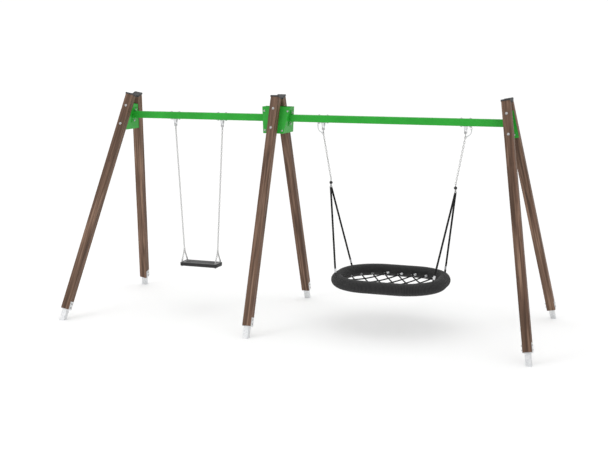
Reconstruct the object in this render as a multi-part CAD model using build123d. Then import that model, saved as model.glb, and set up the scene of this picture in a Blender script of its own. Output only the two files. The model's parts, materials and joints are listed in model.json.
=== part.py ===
from build123d import *
import math
import os

# Swing set: three timber A-frames, two steel beams, a flat seat and an oval nest seat.
# Millimetres. +X along the beams, +Y to the back, +Z up, ground at Z = 0.
# The origin is under the middle of the whole frame, between the two outer pairs of feet.

# ---- driving sizes -------------------------------------------------------------------
TOP_HEIGHT = 2600.0          # middle of the leg tops above the ground
LEG_W = 95.0                 # square laminated timber leg
LEG_ANGLE = 20.021           # each leg from upright, seen from the end
LEAN_ANGLE = 10.16           # outer frames from upright, seen from the front
LEG_HALF_GAP = 18.5          # half the gap between two leg tops
BAY_FLAT = 1867.0            # middle frame to left frame, at the leg tops
BAY_NEST = 2620.0            # middle frame to right frame, at the leg tops
FOOT_H = 125.0               # end of the timber above the ground

BEAM_W = 80.0                # square tube beam
BEAM_WALL = 4.0
BEAM_R = 8.0
BEAM_DROP = 244.0            # leg top height to beam middle
END_PLATE_T = 8.0
END_PLATE_H = BEAM_W + 100

CHANNEL_UP = 129.0           # folded channel above the beam middle
CHANNEL_DOWN = 169.0         # and below it
CHANNEL_T = 6.0
CHANNEL_DEPTH = 80.0
CHANNEL_OUT = 40.0           # face of the channel from the middle of an outer frame
BOX_HALF = 151.0             # face of the channel from the middle of the middle frame
BOX_PLATE_T = 5.0

HANGER_BOLT_HALF = 50.0
PIN_DROP = 74.0              # beam underside to the pivot pin
PIN_R = 6.0

FLAT_X = -1010.0             # middle of the flat swing from the middle frame
SEAT_L = 484.0
SEAT_W = 190.0
SEAT_H = 44.0
SEAT_Z = 546.0               # underside of the seat
SEAT_EYE_X = SEAT_L / 2 - 21
SEAT_EYE_Y = SEAT_W / 2 - 25
FLAT_TOP_HALF = SEAT_EYE_X + 83  # hangers from the middle of the swing
RING_ABOVE_SEAT = 138.0      # chain ring above the seat top

NEST_X = 1365.0              # middle of the nest swing from the middle frame
BALL_R = 19.0
NEST_HALF_L = 665.0          # outside of the padded ring, half its length
NEST_HALF_W = 561.0
NEST_CORNER_R = NEST_HALF_W - 76
NEST_Z = 552.0               # middle of the ring above the ground
NEST_TOP_HALF = NEST_HALF_L + 151
BALL_HALF = NEST_HALF_L + 56
BALL_Z = NEST_Z + 1080
RING_R = 70.0                # padded ring's own half thickness
CORE_R = 58.0
TUBE_R = 21.2
TUBE_WALL = 3.0
ROPE_R = 10.0
FERRULE_AT = (NEST_HALF_L - 96, NEST_HALF_W - 267, NEST_Z + 118)
NET_R = 8.0
NET_PITCH = 165.0
NET_ANGLE = 57.0
NET_SAG = 55.0
NET_DROP = 17.0

WIRE = 6.0                   # chain wire
LINK_IN = 10.0               # inside width of a link
LINK_PITCH = 24.6

# ---- clearances ----------------------------------------------------------------------
BOLT_CLEAR = 0.5
RUN_CLEAR = 0.05             # pin in its bush
SIDE_CLEAR = 0.5
LINK_GAP = 0.3
SKIN_CLEAR = 0.3

# ---- worked out ----------------------------------------------------------------------
TAN_LEG = math.tan(math.radians(LEG_ANGLE))
TAN_LEAN = math.tan(math.radians(LEAN_ANGLE))
COS_LEAN = math.cos(math.radians(LEAN_ANGLE))
SIN_LEAN = math.sin(math.radians(LEAN_ANGLE))
TOP_SPREAD = LEG_W / 2 / math.cos(math.radians(LEG_ANGLE)) + LEG_HALF_GAP
BEAM_Z = TOP_HEIGHT - BEAM_DROP
MID_X = (BAY_FLAT - BAY_NEST) / 2
LEFT_X = MID_X - BAY_FLAT
RIGHT_X = MID_X + BAY_NEST
PIN_Z = BEAM_Z - BEAM_W / 2 - PIN_DROP
FRAMES = {"left": (LEFT_X, -1), "middle": (MID_X, 0), "right": (RIGHT_X, 1)}
SIDES = {"front": -1, "back": 1}

os.makedirs("parts", exist_ok=True)
nodes = {}


def node(name, solids):
    """Store one named piece, or a group of loose solids."""
    if isinstance(solids, (list, tuple)):
        flat = []
        for s in solids:
            flat.extend(s.solids())
        nodes[name] = Compound(children=flat) if len(flat) > 1 else flat[0]
    else:
        nodes[name] = solids


def at(point, z_dir, x_dir=None):
    """Location with its own Z along z_dir."""
    if x_dir is None:
        return Plane(origin=point, z_dir=z_dir).location
    return Plane(origin=point, x_dir=x_dir, z_dir=z_dir).location


def rod(a, b, radius):
    """Round bar from point a to point b."""
    a, b = Vector(a), Vector(b)
    d = b - a
    bar = Cylinder(radius, d.length, align=(Align.CENTER, Align.CENTER, Align.MIN))
    return at(a, d) * bar


def hole(point, direction, radius, length):
    """Round cutter centred on a point."""
    return at(point, direction) * Cylinder(radius, length)


def spread(z):
    return TOP_SPREAD + (TOP_HEIGHT - z) * TAN_LEG


def frame_x(apex, side, z):
    return apex + side * (TOP_HEIGHT - z) * TAN_LEAN


# ---- fasteners -----------------------------------------------------------------------
def dome(radius, height):
    """Round-topped head standing on Z = 0."""
    ball_r = (radius**2 + height**2) / (2 * height)
    ball = Pos(0, 0, height - ball_r) * Sphere(ball_r)
    keep = Cylinder(radius, height, align=(Align.CENTER, Align.CENTER, Align.MIN))
    return ball & keep


def hex_block(across, height):
    base = RegularPolygon(across / 2, 6, major_radius=False)
    return extrude(base, height)


def bolt(grip, shank_r, head_r, head_h, nut_across, nut_h, hex_head=False, tail=4.0):
    """Bolt with its head above Z = 0 and its nut at the far end of the grip."""
    washer = Cylinder(head_r, 2, align=(Align.CENTER, Align.CENTER, Align.MIN))
    top = hex_block(head_r * 1.6, head_h) if hex_head else dome(head_r * 0.9, head_h)
    shank = Pos(0, 0, -grip - nut_h - tail) * Cylinder(
        shank_r, grip + nut_h + tail + 1, align=(Align.CENTER, Align.CENTER, Align.MIN)
    )
    body = washer + Pos(0, 0, 2) * top + shank
    nut = Pos(0, 0, -grip - nut_h) * hex_block(nut_across, nut_h)
    nut -= Cylinder(shank_r + 0.1, 3 * (grip + nut_h + 20))
    return [body, nut]


def place(loc, pieces):
    return [loc * p for p in pieces]


# ---- legs, caps and shoes ------------------------------------------------------------
LEG_BOLT_UP = 101.0
LEG_BOLT_DOWN = -111.0
CHEEK_L = 96.0
CHEEK_W = 62.0
CHEEK_T = 5.0
POST_W = 60.0
POST_WALL = 4.0
SHOE_PLATE_T = 6.0
CAP_OVER = 3.0
CAP_T = 5.0
CAP_SKIRT = 14.0

leg_bolts = []
shoe_bolts = []
caps = []
END_GRIP = LEG_W + CHANNEL_T
MID_GRIP = LEG_W + BOX_PLATE_T
for frame_name, (apex, lean) in FRAMES.items():
    normal = Vector(COS_LEAN, 0, lean * SIN_LEAN) if lean else Vector(1, 0, 0)
    for side_name, sy in SIDES.items():
        foot = Vector(frame_x(apex, lean, 0), sy * spread(0), 0)
        top = Vector(apex, sy * TOP_SPREAD, TOP_HEIGHT)
        up = (top - foot).normalized()
        length = (top - foot).length
        start = FOOT_H / up.Z
        local = at(foot, up, normal)
        out = up.cross(normal) * sy

        leg = Pos(0, 0, (start + length) / 2) * Box(LEG_W, LEG_W, length - start)
        leg = local * chamfer(leg.edges().filter_by(Axis.Z), 5)
        leg_grip = MID_GRIP if lean == 0 else END_GRIP
        for dz in (LEG_BOLT_UP, LEG_BOLT_DOWN):
            s = (BEAM_Z + dz) / up.Z
            centre = foot + up * s
            leg -= hole(centre, out, 6 + BOLT_CLEAR, LEG_W * 2)
            seat = at(centre + out * (LEG_W / 2), out)
            leg_bolts += place(seat, bolt(leg_grip, 6, 15, 7, 19, 10))
        cheek_out = 1 if lean >= 0 else -1
        for ds in (24, 70):
            centre = foot + up * (start + ds)
            leg -= hole(centre, normal, 5 + BOLT_CLEAR, LEG_W * 2)
            seat = at(centre + normal * cheek_out * (LEG_W / 2 + CHEEK_T), normal * cheek_out)
            shoe_bolts += place(seat, bolt(LEG_W + 2 * CHEEK_T, 5, 11, 5, 17, 8))
        node(f"leg_{frame_name}_{side_name}", leg)

        cap_w = LEG_W + 2 * CAP_OVER
        cap = Pos(0, 0, length + CAP_T / 2) * Box(cap_w, cap_w, CAP_T)
        cap += Pos(0, 0, length - CAP_SKIRT / 2) * Box(cap_w, cap_w, CAP_SKIRT)
        cap = chamfer(cap.edges().group_by(Axis.Z)[-1], 3)
        inner_w = LEG_W + SKIN_CLEAR
        cap -= Pos(0, 0, length - CAP_SKIRT) * Box(inner_w, inner_w, 2 * CAP_SKIRT)
        caps.append(local * cap)

        plate = Pos(0, 0, start - SHOE_PLATE_T / 2 - 0.1) * Box(LEG_W, POST_W, SHOE_PLATE_T)
        shoe = plate
        for sx in (-1, 1):
            cheek = Box(CHEEK_T, CHEEK_W, CHEEK_L + SHOE_PLATE_T)
            cheek_z = start + (CHEEK_L - SHOE_PLATE_T) / 2
            cheek_x = sx * (LEG_W / 2 + CHEEK_T / 2)
            shoe += Pos(cheek_x, 0, cheek_z) * cheek
        post = Pos(0, 0, start / 2 - 60) * Box(POST_W, POST_W, start + 120)
        post = chamfer(post.edges().filter_by(Axis.Z), 3)
        bore_w = POST_W - 2 * POST_WALL
        post -= Pos(0, 0, start / 2 - 60) * Box(bore_w, bore_w, start + 130)
        post = Pos(0, 0, -SHOE_PLATE_T) * post
        shoe = local * (shoe + post)
        for ds in (24, 70):
            shoe -= hole(foot + up * (start + ds), normal, 5 + BOLT_CLEAR, LEG_W * 2)
        below = Pos(foot.X, foot.Y, -200) * Box(600, 600, 400)
        node(f"shoe_{frame_name}_{side_name}", shoe - below)
node("leg_caps", caps)

# ---- folded channels, box plates and beams -------------------------------------------
def inner_half(z, angle_tan):
    """Half the gap between the two legs' facing sides at height z."""
    return spread(z) - LEG_W / 2 * math.sqrt(1 + angle_tan**2)


def trapezoid(low, high, half_low, half_high):
    """Closed outline, wide at the low edge."""
    pts = [(-half_low, low), (half_low, low), (half_high, high), (-half_high, high)]
    return make_face(Polyline(*pts, close=True))


BEAM_BOLT_OFF = BEAM_W / 2 + 26
FLANGE_HOLES = (LEG_BOLT_UP, LEG_BOLT_DOWN)


def channel(face_point, to_beam, outline_loc, low, high, half, slope, flange_t):
    """Web facing the beam with two flanges along the legs, open at top and bottom."""
    k = math.sqrt(1 + slope**2)
    tall = 60
    outer = trapezoid(low, high, half - low * slope, half - high * slope)
    inner = trapezoid(
        low - tall,
        high + tall,
        half - (low - tall) * slope - flange_t * k,
        half - (high + tall) * slope - flange_t * k,
    )
    outer = outline_loc * extrude(outer, 400, both=True)
    inner = outline_loc * extrude(inner, 500, both=True)
    web_loc = at(face_point, to_beam)
    depth = web_loc * Pos(0, 0, -CHANNEL_DEPTH / 2) * Box(900, 900, CHANNEL_DEPTH)
    behind = web_loc * Pos(0, 0, -CHANNEL_T - 300) * Box(900, 900, 600)
    piece = (outer & depth) - (inner & behind)
    for dz in (BEAM_BOLT_OFF, -BEAM_BOLT_OFF):
        up = Vector(-to_beam.Z, 0, to_beam.X) * (1 if to_beam.X > 0 else -1)
        piece -= hole(face_point + up * dz, to_beam, 6 + BOLT_CLEAR, 60)
    return piece


beam_bolts = []
web_faces = {}


def web_face(name, point, to_beam):
    up = Vector(-to_beam.Z, 0, to_beam.X) * (1 if to_beam.X > 0 else -1)
    web_faces[name] = (point, to_beam, up)
    for dz in (BEAM_BOLT_OFF, -BEAM_BOLT_OFF):
        seat = at(point + up * dz + to_beam * END_PLATE_T, to_beam)
        grip = END_PLATE_T + CHANNEL_T
        beam_bolts.extend(place(seat, bolt(grip, 6, 12, 8, 19, 10, hex_head=True)))


for frame_name, lean in (("left", -1), ("right", 1)):
    apex = FRAMES[frame_name][0]
    to_beam = Vector(-lean * COS_LEAN, 0, -SIN_LEAN)
    on_frame = Vector(frame_x(apex, lean, BEAM_Z), 0, BEAM_Z)
    face_point = on_frame + to_beam * CHANNEL_OUT
    slope = TAN_LEG * COS_LEAN
    outline = at(on_frame, to_beam, Vector(0, -lean, 0))
    low, high = -CHANNEL_DOWN / COS_LEAN, CHANNEL_UP / COS_LEAN
    half = inner_half(BEAM_Z, slope)
    piece = channel(face_point, to_beam, outline, low, high, half, slope, CHANNEL_T)
    for sy in (-1, 1):
        foot = Vector(frame_x(apex, lean, 0), sy * spread(0), 0)
        top = Vector(apex, sy * TOP_SPREAD, TOP_HEIGHT)
        up = (top - foot).normalized()
        out = up.cross(Vector(COS_LEAN, 0, lean * SIN_LEAN)) * sy
        for dz in FLANGE_HOLES:
            centre = foot + up * ((BEAM_Z + dz) / up.Z) - out * (LEG_W / 2)
            piece -= hole(centre, out, 6 + BOLT_CLEAR, 40)
    node(f"bracket_{frame_name}", piece)
    web_face(frame_name, face_point, to_beam)

# The middle joint: two leaning channels held by a front and a back cover plate.
box_bolts = []
k_mid = math.sqrt(1 + TAN_LEG**2)
mid_gap = inner_half(BEAM_Z, TAN_LEG)
mid_half = mid_gap - BOX_PLATE_T * k_mid
sheet_up = Vector(0, 0, 1)
for box_name, side in (("left", -1), ("right", 1)):
    to_beam = Vector(side * COS_LEAN, 0, -SIN_LEAN)
    face_point = Vector(MID_X + side * BOX_HALF, 0, BEAM_Z)
    outline = at(Vector(MID_X, 0, BEAM_Z), Vector(1, 0, 0), Vector(0, 1, 0))
    piece = channel(
        face_point, to_beam, outline, -CHANNEL_DOWN, CHANNEL_UP, mid_half, TAN_LEG, CHANNEL_T
    )
    web_face("middle_" + box_name, face_point, to_beam)
    nodes["box_side_" + box_name] = piece

CORNER_IN = 22.0
CORNER_UP = CHANNEL_UP - 50.0
CORNER_DOWN = -CHANNEL_DOWN + 32.0
for side_name, sy in SIDES.items():
    tilt_out = Vector(0, sy * math.cos(math.radians(LEG_ANGLE)), math.sin(math.radians(LEG_ANGLE)))
    tilt_up = Vector(0, -sy * math.sin(math.radians(LEG_ANGLE)), math.cos(math.radians(LEG_ANGLE)))
    inner_face = Vector(MID_X, sy * mid_half, BEAM_Z)
    loc = at(inner_face, tilt_out, Vector(-sy, 0, 0))
    low = -CHANNEL_DOWN * k_mid
    high = CHANNEL_UP * k_mid
    half_low = BOX_HALF - CHANNEL_DOWN * TAN_LEAN
    half_high = BOX_HALF + CHANNEL_UP * TAN_LEAN
    plate = loc * extrude(trapezoid(low, high, half_low, half_high), BOX_PLATE_T)
    foot = Vector(MID_X, sy * spread(0), 0)
    up = (Vector(MID_X, sy * TOP_SPREAD, TOP_HEIGHT) - foot).normalized()
    for dz in FLANGE_HOLES:
        centre = foot + up * ((BEAM_Z + dz) / up.Z) - tilt_out * (LEG_W / 2)
        plate -= hole(centre, tilt_out, 6 + BOLT_CLEAR, 40)
    for dz in (CORNER_UP, CORNER_DOWN):
        for side in (-1, 1):
            x_off = side * (BOX_HALF + dz * TAN_LEAN - CORNER_IN)
            spot = inner_face + tilt_up * (dz * k_mid) + Vector(x_off, 0, 0)
            cutter = hole(spot, tilt_out, 5 + BOLT_CLEAR, 40)
            plate -= cutter
            name = "box_side_left" if side < 0 else "box_side_right"
            nodes[name] = nodes[name] - cutter
            seat = at(spot + tilt_out * BOX_PLATE_T, tilt_out)
            box_bolts += place(seat, bolt(BOX_PLATE_T + CHANNEL_T, 5, 11, 5, 17, 8))
    node(f"box_plate_{side_name}", plate)


def hanger_spots(middle, half):
    return [MID_X + middle - half, MID_X + middle + half]


FLAT_HANGERS = hanger_spots(FLAT_X, FLAT_TOP_HALF)
NEST_HANGERS = hanger_spots(NEST_X, NEST_TOP_HALF)
for beam_name, ends, hangers in (
    ("left", ("left", "middle_left"), FLAT_HANGERS),
    ("right", ("middle_right", "right"), NEST_HANGERS),
):
    (a, a_dir, a_up), (b, b_dir, b_up) = web_faces[ends[0]], web_faces[ends[1]]
    length = b.X - a.X + 600
    middle = Vector((a.X + b.X) / 2, 0, BEAM_Z)
    tube = Box(length, BEAM_W, BEAM_W)
    tube = fillet(tube.edges().filter_by(Axis.X), BEAM_R)
    bore_w = BEAM_W - 2 * BEAM_WALL
    bore = Box(length + 10, bore_w, bore_w)
    tube -= fillet(bore.edges().filter_by(Axis.X), BEAM_R - BEAM_WALL)
    tube = Pos(middle.X, 0, BEAM_Z) * tube
    beam = tube
    for point, direction, up in ((a, a_dir, a_up), (b, b_dir, b_up)):
        cut = at(point, direction) * Pos(0, 0, END_PLATE_T / 2 - 400) * Box(900, 900, 800)
        beam -= cut
    for point, direction, up in ((a, a_dir, a_up), (b, b_dir, b_up)):
        plate = Pos(0, 0, END_PLATE_T / 2) * Box(END_PLATE_H, BEAM_W, END_PLATE_T)
        plate = at(point, direction, up) * chamfer(plate.edges().filter_by(Axis.Z), 6)
        for dz in (BEAM_BOLT_OFF, -BEAM_BOLT_OFF):
            plate -= hole(point + up * dz, direction, 6 + BOLT_CLEAR, 60)
        beam += plate
    for x in hangers:
        for dx in (-HANGER_BOLT_HALF, HANGER_BOLT_HALF):
            beam -= hole(Vector(x + dx, 0, BEAM_Z), Vector(0, 0, 1), 6 + BOLT_CLEAR, BEAM_W * 2)
    node(f"beam_{beam_name}", beam)

# ---- hangers -------------------------------------------------------------------------
HANGER_PLATE_T = 4.0
FORK_IN = 10.0
FORK_T = 4.0
FORK_R = 14.0
BUSH_R = 9.0
BUSH_FLANGE_R = 13.0
EYE_T = 6.0
EYE_R = 15.0
EYE_DROP = 34.0              # pivot pin to the middle of the chain hole
EYE_HOLE_R = 8.0
EYE_END_R = 15.0
SAFETY_LUG_T = 4.0
under = BEAM_Z - BEAM_W / 2


def hanger_bracket(x):
    """Plate under the beam with an open-sided tapering housing and two ears for the pin."""
    plate = Pos(0, 0, -HANGER_PLATE_T / 2) * Box(2 * HANGER_BOLT_HALF + 26, 44, HANGER_PLATE_T)
    plate = chamfer(plate.edges().filter_by(Axis.Z), 8)
    low = -PIN_DROP + 28
    wide = 2 * (FORK_IN + FORK_T)
    outer = loft([Pos(0, 0, low) * Rectangle(wide, 38), Pos(0, 0, -3) * Rectangle(wide + 6, 56)])
    inner = loft(
        [
            Pos(0, 0, low - 1) * Rectangle(wide - 8, 30),
            Pos(0, 0, -HANGER_PLATE_T) * Rectangle(wide - 2, 48),
        ]
    )
    body = plate + (outer - inner)
    window_top = -HANGER_PLATE_T - 3
    window = Box(90, 34, window_top - low - 4, align=(Align.CENTER, Align.CENTER, Align.MAX))
    body -= Pos(0, 0, window_top) * window
    for sx in (-1, 1):
        ear_x = sx * (FORK_IN + FORK_T / 2)
        ear = Pos(ear_x, 0, (low + 6 - PIN_DROP) / 2) * Box(FORK_T, 2 * FORK_R, PIN_DROP + low + 6)
        ear += Pos(ear_x, 0, -PIN_DROP) * Rot(0, 90, 0) * Cylinder(FORK_R, FORK_T)
        body += ear
    body -= hole(Vector(0, 0, -PIN_DROP), Vector(1, 0, 0), PIN_R + 0.02, 80)
    for dx in (-HANGER_BOLT_HALF, HANGER_BOLT_HALF):
        body -= hole(Vector(dx, 0, 0), Vector(0, 0, 1), 6 + BOLT_CLEAR, 40)
    return Pos(x, 0, under) * body


def hanger_pin(x):
    half = FORK_IN + FORK_T
    shank = Rot(0, 90, 0) * Cylinder(PIN_R, 2 * half + 2)
    heads = [Pos(sx * (half + 1.6), 0, 0) * Rot(0, 90, 0) * Cylinder(9, 3) for sx in (-1, 1)]
    return Pos(x, 0, PIN_Z) * (shank + heads[0] + heads[1])


def bush(x):
    half = FORK_IN - SIDE_CLEAR
    body = Rot(0, 90, 0) * Cylinder(BUSH_R - RUN_CLEAR, 2 * half)
    for sx in (-1, 1):
        w = half - EYE_T / 2 - 0.1
        body += Pos(sx * (half - w / 2), 0, 0) * Rot(0, 90, 0) * Cylinder(BUSH_FLANGE_R, w)
    body -= Rot(0, 90, 0) * Cylinder(PIN_R + RUN_CLEAR, 80)
    return Pos(x, 0, PIN_Z) * body


def hanger_eye(x):
    """Flat forged eye: round the bush at the top, round the chain at the bottom."""
    body = Rot(0, 90, 0) * Cylinder(EYE_R, EYE_T)
    body += Pos(0, 0, -EYE_DROP / 2) * Box(EYE_T, 22, EYE_DROP)
    body += Pos(0, 0, -EYE_DROP) * Rot(0, 90, 0) * Cylinder(EYE_END_R, EYE_T)
    body -= Rot(0, 90, 0) * Cylinder(BUSH_R, 20)
    body -= Pos(0, 0, -EYE_DROP) * Rot(0, 90, 0) * Cylinder(EYE_HOLE_R, 20)
    return Pos(x, 0, PIN_Z) * body


hanger_bolts = []
for x in FLAT_HANGERS + NEST_HANGERS:
    for dx in (-HANGER_BOLT_HALF, HANGER_BOLT_HALF):
        seat = at(Vector(x + dx, 0, BEAM_Z + BEAM_W / 2), Vector(0, 0, 1))
        holds_lug = (x == NEST_HANGERS[0] and dx < 0) or (x == NEST_HANGERS[1] and dx > 0)
        grip = BEAM_W + HANGER_PLATE_T + (SAFETY_LUG_T if holds_lug else 0)
        hanger_bolts += place(seat, bolt(grip, 6, 13, 9, 19, 6, tail=1.0))
node("hangers_flat", [hanger_bracket(x) for x in FLAT_HANGERS])
node("hangers_nest", [hanger_bracket(x) for x in NEST_HANGERS])
node("hanger_pins", [hanger_pin(x) for x in FLAT_HANGERS + NEST_HANGERS])
node("hanger_bolts", hanger_bolts)
node("flat_eyes", [hanger_eye(x) for x in FLAT_HANGERS])
node("flat_bushes", [bush(x) for x in FLAT_HANGERS])
node("nest_eyes", [hanger_eye(x) for x in NEST_HANGERS])
node("nest_bushes", [bush(x) for x in NEST_HANGERS])
node("leg_bolts", leg_bolts)
node("shoe_bolts", shoe_bolts)
node("beam_bolts", beam_bolts)
node("box_bolts", box_bolts)


# ---- chain ---------------------------------------------------------------------------
def make_link(inside, wire=WIRE, width=LINK_IN):
    """One oval link in the XZ plane, long way along Z."""
    end_r = (width + wire) / 2
    half = (inside + wire) / 2 - end_r
    arch = revolve(Pos(end_r, 0, 0) * Circle(wire / 2), Axis.Y, -180)
    bend_top = Pos(0, 0, half) * arch
    bend_low = Pos(0, 0, -half) * Rot(0, 180, 0) * arch
    link = bend_top + bend_low
    for sx in (-1, 1):
        link += Pos(sx * end_r, 0, 0) * Cylinder(wire / 2, 2 * half)
    return link


def chain(a, a_r, b, b_r, side, pitch=LINK_PITCH):
    """Odd number of links from the bar at a down to the bar at b, first and last across side."""
    a, b = Vector(a), Vector(b)
    down = (b - a).normalized()
    first = a - down * (a_r + WIRE / 2 + LINK_GAP)
    last = b + down * (b_r + WIRE / 2 + LINK_GAP)
    span = (last - first).length
    count = max(1, round((span - WIRE) / pitch))
    if count % 2 == 0:
        count += 1 if (span - WIRE) / pitch > count else -1
    inside = (span - WIRE + (count - 1) * LINK_GAP) / count
    link = make_link(inside)
    step = inside - LINK_GAP
    side = Vector(side)
    other = down.cross(side)
    links = []
    centres = []
    for i in range(count):
        centre = first + down * ((inside + WIRE) / 2 + i * step)
        links.append(at(centre, down * -1, side if i % 2 == 0 else other) * link)
        centres.append(centre)
    return links, centres


EYE_RIM = (EYE_END_R - EYE_HOLE_R) / 2 + 0.6
eye_bar_z = PIN_Z - EYE_DROP - EYE_HOLE_R - EYE_RIM

# ---- flat swing ----------------------------------------------------------------------
RING_WIRE_R = 4.0
RING_MID_R = 16.0
ARCH_R = 11.0
SEAT_TOP = SEAT_Z + SEAT_H
RING_Z = SEAT_TOP + RING_ABOVE_SEAT
ARCH_Z = SEAT_TOP + 17.0
CORE_PLATE = (SEAT_L - 60, SEAT_W - 66, 5.0)
flat_mid = MID_X + FLAT_X
rings = []
leg_chains = []
u_bolts = []
for name, sx, top_x in (("left", -1, FLAT_HANGERS[0]), ("right", 1, FLAT_HANGERS[1])):
    x = flat_mid + sx * SEAT_EYE_X
    ring_centre = Vector(x, 0, RING_Z)
    rings.append(at(ring_centre, Vector(1, 0, 0)) * Torus(RING_MID_R, RING_WIRE_R))
    links, _ = chain(
        (top_x, 0, eye_bar_z), EYE_RIM, (x, 0, RING_Z + RING_MID_R), RING_WIRE_R, (1, 0, 0)
    )
    node(f"flat_chain_{name}", links)
    for sy in (-1, 1):
        arch_centre = Vector(x, sy * SEAT_EYE_Y, ARCH_Z)
        lean = (arch_centre - ring_centre).normalized()
        start = ring_centre + lean * RING_MID_R
        end = arch_centre - lean * ARCH_R
        links, _ = chain(start, RING_WIRE_R, end, RING_WIRE_R, (1, 0, 0))
        leg_chains += links
        u_bolt = revolve(Pos(0, ARCH_R, 0) * Circle(RING_WIRE_R), Axis.X, 180)
        drop = ARCH_Z - SEAT_Z + 12
        for py in (-ARCH_R, ARCH_R):
            shank = Cylinder(RING_WIRE_R, drop, align=(Align.CENTER, Align.CENTER, Align.MAX))
            u_bolt += Pos(0, py, 0) * shank
        u_bolts.append(Pos(x, sy * SEAT_EYE_Y, ARCH_Z) * u_bolt)
        for py in (-ARCH_R, ARCH_R):
            nut = hex_block(13, 7) - Cylinder(RING_WIRE_R + 0.1, 60)
            u_bolts.append(Pos(x, sy * SEAT_EYE_Y + py, SEAT_Z - 7) * nut)
node("flat_rings", rings)
node("seat_chains", leg_chains)
node("seat_eyes", u_bolts)

seat = Pos(flat_mid, 0, SEAT_Z + SEAT_H / 2) * Box(SEAT_L, SEAT_W, SEAT_H)
seat = fillet(seat.edges().filter_by(Axis.Z), 22)
seat = fillet(seat.edges().group_by(Axis.Z)[-1], 10)
seat = fillet(seat.edges().group_by(Axis.Z)[0], 5)
core = Pos(flat_mid, 0, SEAT_Z + CORE_PLATE[2] / 2) * Box(*CORE_PLATE)
wide_core = Pos(flat_mid, 0, SEAT_Z + CORE_PLATE[2] / 2) * Box(
    2 * SEAT_EYE_X + 20, 2 * (SEAT_EYE_Y + ARCH_R + 5.5), CORE_PLATE[2]
)
core = fillet((core + wide_core).edges().filter_by(Axis.Z), 8)
seat -= core
for sx in (-1, 1):
    for sy in (-1, 1):
        for py in (-ARCH_R, ARCH_R):
            spot = Vector(flat_mid + sx * SEAT_EYE_X, sy * SEAT_EYE_Y + py, SEAT_Z)
            cutter = hole(spot, Vector(0, 0, 1), RING_WIRE_R + 0.1, 400)
            seat -= cutter
            core -= cutter
node("seat_rubber", seat)
node("seat_plate", core)

# ---- nest swing ----------------------------------------------------------------------
LUG_R = 9.0
LUG_T = 6.0
PIVOT_Z = BALL_Z - BALL_R - 12.0
PIVOT_R = 4.0
TOP_RING_R = 9.0
TOP_RING_WIRE_R = 3.5
top_ring_z = BALL_Z + BALL_R + TOP_RING_R + TOP_RING_WIRE_R + 1.0
CLEVIS_IN = LUG_T / 2 + 0.5
CLEVIS_T = 4.0
BLOCK_TOP = PIVOT_Z - 11.5
BLOCK_H = 9.0
ROPE_TOP_Y = 11.5
rope_top_z = BLOCK_TOP - BLOCK_H
nest_mid = MID_X + NEST_X

swivels = []
balls = []
clevises = []
ferrules = []
sleeves = []
anchors = []
loops = []
lugs = []
LUG_TAB = 21.0
LOOP_RING_R = 10.0
LOOP_WIRE_R = 2.75
CABLE_R = 5.0
ring_path_l = NEST_HALF_L - RING_R
ring_path_w = NEST_HALF_W - RING_R
ring_path_r = NEST_CORNER_R - RING_R
corner_x = ring_path_l - ring_path_r
corner_y = ring_path_w - ring_path_r


def bent_tube(points, radius, what):
    """Round tube on straight runs joined by tangent arcs."""
    edges, begin, radii = [], points[0], []
    for i in range(1, len(points) - 1):
        back = (points[i - 1] - points[i])
        ahead = (points[i + 1] - points[i])
        a, b = back.normalized(), ahead.normalized()
        half = (math.pi - math.acos(max(-1, min(1, a.dot(b))))) / 2
        cut = 0.45 * min(back.length, ahead.length)
        arc_r = cut / math.tan(half)
        radii.append(round(arc_r, 1))
        p, q = points[i] + a * cut, points[i] + b * cut
        centre = points[i] + (a + b).normalized() * (arc_r / math.cos(half))
        middle = centre + (points[i] - centre).normalized() * arc_r
        edges.append(Line(begin, p))
        edges.append(ThreePointArc(p, middle, q))
        begin = q
    edges.append(Line(begin, points[-1]))
    line = Wire(edges)
    section = Plane(origin=points[0], z_dir=points[1] - points[0]) * Circle(radius)
    tube = sweep(section, path=line)
    full = math.pi * radius**2 * line.length
    print(what, "arc radii", radii, "length", round(line.length, 1), "volume share", round(tube.volume / full, 4))
    return tube


def ring_point(sx, sy, near_x, near_y):
    """Point on the ring's middle line nearest to a plan point, and its tangent."""
    dx, dy = near_x - corner_x, near_y - corner_y
    reach = math.hypot(dx, dy)
    ux, uy = dx / reach, dy / reach
    px = corner_x + ring_path_r * ux
    py = corner_y + ring_path_r * uy
    point = Vector(nest_mid + sx * px, sy * py, NEST_Z)
    return point, Vector(-sx * uy, sy * ux, 0)


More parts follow.
